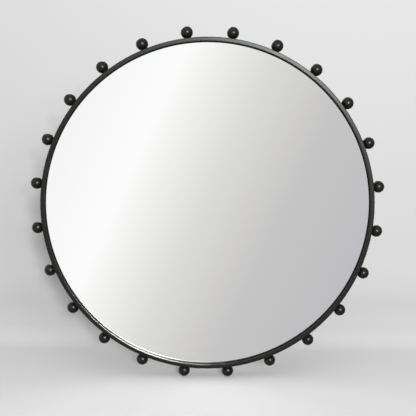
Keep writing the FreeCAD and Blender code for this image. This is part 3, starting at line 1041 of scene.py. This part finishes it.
@dataclass(frozen=True)
class Hangers:
    """The two hangers: plate, strap with a rolled eye, rivets and hanging ring."""

    plate_width: float = 50 * MM
    plate_corner: float = 6 * MM
    strap_thick: float = 1.5 * MM
    strap_corner: float = 4 * MM
    corner_steps: int = 6
    strap_round: float = 0.3 * MM
    joggle: float = 6 * MM
    eye_bore: float = 2.56 * MM
    eye_turn: float = 292.0
    eye_steps: int = 40
    rivet_radius: float = 4.5 * MM
    rivet_shank: float = 2.5 * MM
    rivet_height: float = 2 * MM
    rivet_pin: float = 1.3 * MM
    rivet_neck: float = 1.17 * MM
    rivet_sink: float = 0.5 * MM
    rivet_tear: float = 0.05 * MM
    rivet_tip: float = 0.4 * MM
    rivet_steps: int = 36
    dome_steps: int = 8
    rivet_drops: tuple[float, float] = (36 * MM, 54 * MM)

    def build(self) -> None:
        """Makes each hanger and dresses its ring."""
        for side in Side:
            word = side.value
            low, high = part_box("hanger_plate_" + word)
            plates = WeldedPlates(low.y, high.y)
            centre = (low.x + high.x) / 2
            left, right = centre - self.plate_width / 2, centre + self.plate_width / 2
            start, end = [math.degrees(math.asin(x / INNER_WALL))
                          for x in (left + plates.weld_inset, right - plates.weld_inset)]
            plate = plates.plate(left, right, low.z, self.plate_corner)
            weld = plates.weld((start + end) / 2, end - start)
            make_piece("plate_" + word, plate, BRACKET_COAT, ["hanger_plate_" + word])
            make_piece("plate_weld_" + word, weld, BRACKET_COAT, ["weld_beads"])
            make_piece("strap_" + word, self.strap(word), ZINC, ["hanger_strap_" + word])
            for place, drop in zip(("upper", "lower"), self.rivet_drops):
                rivet = move(self.rivet(), centre, self.eye(word)[1] - drop)
                make_piece("rivet_%s_%s" % (word, place), rivet, RIVET, ["hanger_rivets"])
            dress_nodes(["d_ring_" + word], WIRE)

    def eye(self, word: str) -> tuple[float, float]:
        """Y and Z of the axis of a side's eye, which the ring's hinge names."""
        hinge = next(joint for joint in frame["joints"] if joint["child"] == word + "_ring")
        return hinge["pos_m"][1], hinge["pos_m"][2]

    def strap(self, word: str) -> bmesh.types.BMesh:
        """A strip laid on the plate and rolled at its top round the ring's straight side.

        Args:
            word: The side.

        Returns:
            The shape.
        """
        low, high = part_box("hanger_strap_" + word)
        eye_y, eye_z = self.eye(word)
        outside = eye_y - self.eye_bore - self.strap_thick
        shape = bmesh.new()
        run = [shape.edges.new([shape.verts.new((x, low.y, low.z)) for x in (low.x, high.x)])]
        for y, z in ((low.y, eye_z - self.joggle), (outside, eye_z)):
            result = bmesh.ops.extrude_edge_only(shape, edges=run)
            verts = grown_verts(result)
            run = [item for item in result["geom"] if isinstance(item, bmesh.types.BMEdge)
                   and item.is_boundary and set(item.verts) == set(verts)]
            for vert in verts:
                vert.co.y, vert.co.z = y, z
        bmesh.ops.spin(shape, geom=run + [v for e in run for v in e.verts], cent=(0, eye_y, eye_z),
                       axis=(1, 0, 0), angle=-math.radians(self.eye_turn), steps=self.eye_steps)
        bmesh.ops.remove_doubles(shape, verts=shape.verts, dist=MERGE_DISTANCE)
        foot = [vert for vert in shape.verts if abs(vert.co.z - low.z) < MERGE_DISTANCE]
        bmesh.ops.bevel(shape, geom=foot, offset=self.strap_corner, segments=self.corner_steps,
                        profile=0.5, affect="VERTICES", material=-1)
        bmesh.ops.recalc_face_normals(shape, faces=shape.faces)
        lowest = min(shape.faces, key=lambda face: face.calc_center_median().z)
        if lowest.normal.y > 0:
            bmesh.ops.reverse_faces(shape, faces=shape.faces)
        bmesh.ops.solidify(shape, geom=shape.faces[:], thickness=self.strap_thick)
        bmesh.ops.recalc_face_normals(shape, faces=shape.faces)
        soften(shape, self.strap_round)
        return shape

    def rivet(self) -> bmesh.types.BMesh:
        """A blind rivet: a low dome with its pin broken off a little below the top.

        Returns:
            The shape, on the mirror's axis.
        """
        low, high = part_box("hanger_rivets")
        front, top = low.y, high.y
        seat, rim = top - self.rivet_height, self.rivet_radius
        dome = (rim ** 2 + self.rivet_height ** 2) / (2 * self.rivet_height)
        start = math.degrees(math.asin((dome - self.rivet_height) / dome))
        end = math.degrees(math.acos(self.rivet_pin / dome))
        sunk = top - self.rivet_sink
        profile = [(0, front), (self.rivet_shank, front), (self.rivet_shank, seat), (rim, seat)]
        profile += arc((0, top - dome), dome, start, end, self.dome_steps)[1:]
        profile += [(self.rivet_pin, sunk), (self.rivet_neck, sunk - self.rivet_tear),
                    (0, top - self.rivet_tip)]
        return spun(profile, self.rivet_steps)


@dataclass(frozen=True)
class Bumpers:
    """Rubber bumpers pushed into the hoop's back edge."""

    count: int = 6
    first: float = 30.0
    radius: float = 3.5 * MM
    edge: float = 0.8 * MM
    edge_steps: int = 5
    stem: float = 1.5 * MM
    stem_tip: float = 1.2 * MM
    dimple: float = 0.25 * MM
    dimple_radius: float = 1.4 * MM
    dimple_floor: float = 1.12 * MM
    steps: int = 40

    def build(self) -> None:
        """Makes the bumpers, numbered clockwise."""
        hoop_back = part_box("hoop")[1]
        middle = (hoop_back.x + INNER_WALL) / 2
        low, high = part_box("wall_bumpers")
        profile = [(0, low.y), (self.stem_tip, low.y), (self.stem, low.y + self.edge),
                   (self.stem, hoop_back.y), (self.radius, hoop_back.y)]
        profile += arc((self.radius - self.edge, high.y - self.edge), self.edge, 0, 90, self.edge_steps)
        profile += [(self.dimple_radius, high.y), (self.dimple_floor, high.y - self.dimple),
                    (0, high.y - self.dimple)]
        for number, angle in spaced(self.count, self.first):
            bumper = turn(move(spun(profile, self.steps), 0, middle), angle)
            make_piece("bumper_%d" % number, bumper, RUBBER, ["wall_bumpers"])


@dataclass(frozen=True)
class Viewpoint:
    """Where the camera stands, seen from the middle of the ring of balls."""

    ring_y: float = -1.5 * MM
    lens: float = 56.18
    sensor: float = 36.0
    sight: float = 100.0
    distance: float = 1.6474
    above: float = 7.308
    left: float = 0.618
    roll: float = 0.693
    aim_right: float = 0.5 * MM
    aim_up: float = -2.2 * MM

    def build(self) -> None:
        """Makes the camera and gives it to the scene."""
        tilt, pan, roll = (math.radians(angle) for angle in (self.above, self.left, self.roll))
        ring = Vector((0, self.ring_y, 0))
        out = Vector((-math.sin(pan) * math.cos(tilt), -math.cos(pan) * math.cos(tilt), math.sin(tilt)))
        place = ring + out * self.distance
        back = (place - ring - Vector((self.aim_right, 0, self.aim_up))).normalized()
        level = Vector((0, 0, 1)).cross(back).normalized()
        upright = back.cross(level)
        right = level * math.cos(roll) + upright * math.sin(roll)
        matrix = Matrix((right, back.cross(right), back)).transposed().to_4x4()
        matrix.translation = place
        data = bpy.data.cameras.new("camera")
        data.lens, data.sensor_width, data.clip_end = self.lens, self.sensor, self.sight
        camera = put("camera", data)
        camera.matrix_world = matrix
        bpy.context.scene.camera = camera


@dataclass(frozen=True)
class Lamp:
    """A round soft lamp that faces the mirror, and that polished things may or may not show."""

    name: str
    place: Triple
    size: float
    watts: float
    mirrored: bool = True

    def build(self) -> None:
        """Hangs the lamp."""
        data = bpy.data.lights.new(self.name, "AREA")
        data.shape = "DISK"
        data.size, data.energy = self.size, self.watts
        lamp = put(self.name, data)
        lamp.location = self.place
        lamp.rotation_euler = Vector(self.place).to_track_quat("Z", "Y").to_euler()
        lamp.visible_glossy = self.mirrored


@dataclass(frozen=True)
class Air:
    """The world: even light, a pale view for the camera, and the room that polished things show.

    That room is a bright window in front, which runs from white at the left to grey at the right, and
    soft greys round it. The window is measured on a plane one metre in front.
    """

    fill: float = 0.15
    backdrop: str = "DADAD9"
    room: tuple[tuple[float, str], ...] = ((0.0, "8A8A89"), (0.5, "A8A8A6"), (1.0, "E4E4E2"))
    room_lean: Triple = (-0.42, 0.0, 0.3)
    least_ahead: float = 0.05
    window_centre: Triple = (0.01, -0.127, 0.0)
    window_radius: float = 0.262
    window_fade: float = 0.36
    window_lean: float = 24.2
    window_span: tuple[float, float] = (-0.25, 0.35)
    window: tuple[tuple[float, str], ...] = ((0.0, "F2F2F2"), (0.3, "FEFEFE"), (0.5, "DFDEDC"),
                                             (0.7, "C9C7C8"), (1.0, "BEBCC0"))

    def build(self) -> None:
        """Makes the world."""
        world = bpy.data.worlds.new("studio")
        bpy.context.scene.world = world
        world.use_nodes = True
        world.node_tree.nodes.clear()
        add = partial(add_node, world.node_tree)
        way = add("TexCoord").outputs["Generated"]
        ray = add("LightPath").outputs
        sharp = add("Math", {0: ray["Is Glossy Ray"], 1: ray["Is Transmission Ray"]},
                    {"operation": "MAXIMUM"}).outputs[0]
        colour = add("Mix", {MIX_FACTOR: self.window_edge(add, way), MIX_A: self.room_tone(add, way),
                             MIX_B: self.window_tone(add, way)}, {"data_type": "RGBA"})
        lights = ((linear("FFFFFF"), self.fill), (colour.outputs[MIX_RESULT], 1.0),
                  (linear(self.backdrop), 1.0))
        even, polished, view = [add("Background", {"Color": light, "Strength": strength}).outputs[0]
                                for light, strength in lights]
        light = add("MixShader", {0: sharp, 1: even, 2: polished}).outputs[0]
        whole = add("MixShader", {0: ray["Is Camera Ray"], 1: light, 2: view}).outputs[0]
        add("OutputWorld", {"Surface": whole})

    def on_plane(self, add: partial, way: bpy.types.NodeSocket) -> bpy.types.NodeSocket:
        """Where a direction meets the plane one metre in front.

        Args:
            add: Adds a node to the world's tree.
            way: The direction.

        Returns:
            The place, X to the right and Y up.
        """
        parts = add("SeparateXYZ", {"Vector": way}).outputs
        toward = add("Math", {0: parts["Y"], 1: -1.0}, {"operation": "MULTIPLY"}).outputs[0]
        ahead = add("Math", {0: toward, 1: self.least_ahead}, {"operation": "MAXIMUM"}).outputs[0]
        across, upward = [add("Math", {0: parts[axis], 1: ahead}, {"operation": "DIVIDE"}).outputs[0]
                          for axis in ("X", "Z")]
        return add("CombineXYZ", {"X": across, "Y": upward}).outputs["Vector"]

    def window_edge(self, add: partial, way: bpy.types.NodeSocket) -> bpy.types.NodeSocket:
        """How much of the window a direction sees.

        Args:
            add: Adds a node to the world's tree.
            way: The direction.

        Returns:
            1 inside the window, 0 outside it.
        """
        apart = add("VectorMath", {0: self.on_plane(add, way), 1: self.window_centre},
                    {"operation": "DISTANCE"}).outputs["Value"]
        span = {"Value": apart, "From Min": self.window_radius, "From Max": self.window_fade,
                "To Min": 1.0, "To Max": 0.0}
        return add("MapRange", span, {"interpolation_type": "SMOOTHSTEP"}).outputs["Result"]

    def window_tone(self, add: partial, way: bpy.types.NodeSocket) -> bpy.types.NodeSocket:
        """The window's colour, from upper left to lower right.

        Args:
            add: Adds a node to the world's tree.
            way: The direction.

        Returns:
            The colour.
        """
        lean = math.radians(self.window_lean)
        along = add("VectorMath", {0: self.on_plane(add, way), 1: (math.cos(lean), -math.sin(lean), 0)},
                    {"operation": "DOT_PRODUCT"}).outputs["Value"]
        low, high = self.window_span
        share = add("MapRange", {"Value": along, "From Min": low, "From Max": high}).outputs["Result"]
        return add("ValToRGB", {"Fac": share}, stops=self.window).outputs["Color"]

    def room_tone(self, add: partial, way: bpy.types.NodeSocket) -> bpy.types.NodeSocket:
        """The room's colour, lighter above and to the left.

        Args:
            add: Adds a node to the world's tree.
            way: The direction.

        Returns:
            The colour.
        """
        leaning = add("VectorMath", {0: way, 1: self.room_lean}, {"operation": "DOT_PRODUCT"})
        share = add("Math", {0: leaning.outputs["Value"], 1: 0.5}, {"operation": "ADD"}).outputs[0]
        return add("ValToRGB", {"Fac": share}, stops=self.room).outputs["Color"]


@dataclass(frozen=True)
class Sweep:
    """A pale seamless sweep of matt paper, which only the camera sees, and which is clear from behind.

    Its tone follows its slope, from the upright wall at 0 to the level floor at 1: painted shade
    darkens the cove, which the lamps light more, and painted light brightens the floor, which they
    light less.
    """

    # Painted shade on the cove and painted light on the floor, so that the slopes look about as bright
    # as the wall
    painted_slope_tones: tuple[tuple[float, str], ...] = ((0.0, "B8B8B8"), (0.65, "A9A9A9"), (0.88, "B4B4B4"),
                                            (1.0, "C8C8C8"))
    lift: float = 0.1
    floor_gap: float = 0.5 * MM
    floor_reach: float = 6.0
    wall_gap: float = 0.45
    wall_height: float = 3.0
    cove: float = 0.25
    cove_steps: int = 24
    overlap: float = 0.1 * MM
    half_width: float = 6.0

    def build(self) -> None:
        """Lays the floor and hangs the wall."""
        paper = self.paper()
        self.stage_piece("studio_floor", self.floor(), paper)
        self.stage_piece("studio_wall", self.wall(), paper)

    def paper(self) -> bpy.types.Material:
        """Pale studio paper: matt, a little lighter for the camera alone, with a tone for each slope
        that paints shade on the cove and light on the floor.

        Returns:
            The material.
        """
        material = bpy.data.materials.new("matt_studio_paper")
        material.use_nodes = True
        material.node_tree.nodes.clear()
        add = partial(add_node, material.node_tree)
        surface = add("NewGeometry").outputs
        slope = add("SeparateXYZ", {"Vector": surface["Normal"]}).outputs["Z"]
        tone = add("ValToRGB", {"Fac": slope}, stops=self.painted_slope_tones).outputs["Color"]
        matt = add("BsdfDiffuse", {"Color": tone}).outputs[0]
        seen = add("Math", {0: self.lift, 1: add("LightPath").outputs["Is Camera Ray"]},
                   {"operation": "MULTIPLY"}).outputs[0]
        glow = add("Emission", {"Color": linear("FFFFFF"), "Strength": seen}).outputs[0]
        lit = add("AddShader", {0: matt, 1: glow}).outputs[0]
        clear = add("BsdfTransparent").outputs[0]
        shown = add("MixShader", {0: surface["Backfacing"], 1: lit, 2: clear}).outputs[0]
        add("OutputMaterial", {"Surface": shown})
        return material

    def stage_piece(self, name: str, shape: bmesh.types.BMesh,
                    paper: bpy.types.Material) -> bpy.types.Object:
        """Makes a piece of the sweep, which lights nothing and hides nothing from the lamps.

        Args:
            name: Its name.
            shape: Its shape. It is used up.
            paper: Its material.

        Returns:
            The object.
        """
        piece = put_shape(name, shape, paper)
        piece.visible_diffuse = piece.visible_glossy = piece.visible_transmission = False
        piece.visible_shadow = piece.visible_volume_scatter = False
        return piece

    def floor(self) -> bmesh.types.BMesh:
        """A wide level floor just under the lowest balls.

        Returns:
            The shape.
        """
        shape = bmesh.new()
        place = Matrix.Translation((0, 0, CAD_BOX[0][2] - self.floor_gap))
        bmesh.ops.create_grid(shape, x_segments=1, y_segments=1, size=self.floor_reach, matrix=place)
        return shape

    def wall(self) -> bmesh.types.BMesh:
        """The upright wall behind, which rises from the floor in a cove.

        Returns:
            The shape.
        """
        floor_z = CAD_BOX[0][2] - self.floor_gap + self.overlap
        middle = (self.wall_gap - self.cove, floor_z + self.cove)
        points = arc(middle, self.cove, -90, 0, self.cove_steps)
        points.append((self.wall_gap, self.wall_height))
        shape = bmesh.new()
        verts = [shape.verts.new((-self.half_width, y, z)) for y, z in points]
        edges = [shape.edges.new(pair) for pair in zip(verts, verts[1:])]
        grown = grown_verts(bmesh.ops.extrude_edge_only(shape, edges=edges))
        bmesh.ops.translate(shape, vec=(2 * self.half_width, 0, 0), verts=grown)
        if shape.faces[:][-1].normal.y > 0:
            bmesh.ops.reverse_faces(shape, faces=shape.faces)
        return shape


@dataclass(frozen=True)
class Studio:
    """The air, the sweep and the lamps.

    The key lamp stands where the hoop throws its light back to the camera, and just outside what the
    glass shows. Two small lamps beside it draw out its streak along the bar and the ledge inside it.
    The overhead lamp lights the floor, and nothing polished shows it.
    """

    lamps: tuple[Lamp, ...] = (
        Lamp("key_lamp", (0.88, -5.0, 1.33), 0.8, 200.0),
        Lamp("low_lamp", (1.27, -5.0, 0.8), 0.3, 40.0),
        Lamp("left_lamp", (0.2, -5.0, 1.5), 0.3, 12.0),
        Lamp("side_lamp", (2.0, -4.0, 1.35), 1.5, 40.0),
        Lamp("top_lamp", (0.2, -0.9, 2.2), 3.0, 42.0, mirrored=False),
        Lamp("back_lamp", (-0.8, 2.8, 1.7), 1.6, 24.0),
    )

    def build(self) -> None:
        """Sets up the light, the sweep and the view's colours."""
        for item in (Air(), Sweep(), *self.lamps):
            item.build()
        bpy.context.scene.view_settings.view_transform = "Standard"


def main() -> None:
    """Builds the mirror's sub-assemblies in order, then the studio."""
    logging.basicConfig(level=logging.INFO, format="%(name)s: %(message)s")
    parts = (Viewpoint(), HoopAndBalls(), GlassPack(), PanelFixings(), Hangers(), Bumpers(), Studio())
    for part in parts:
        LOG.info("building %s", type(part).__name__)
        part.build()


if __name__ == "__main__":
    main()
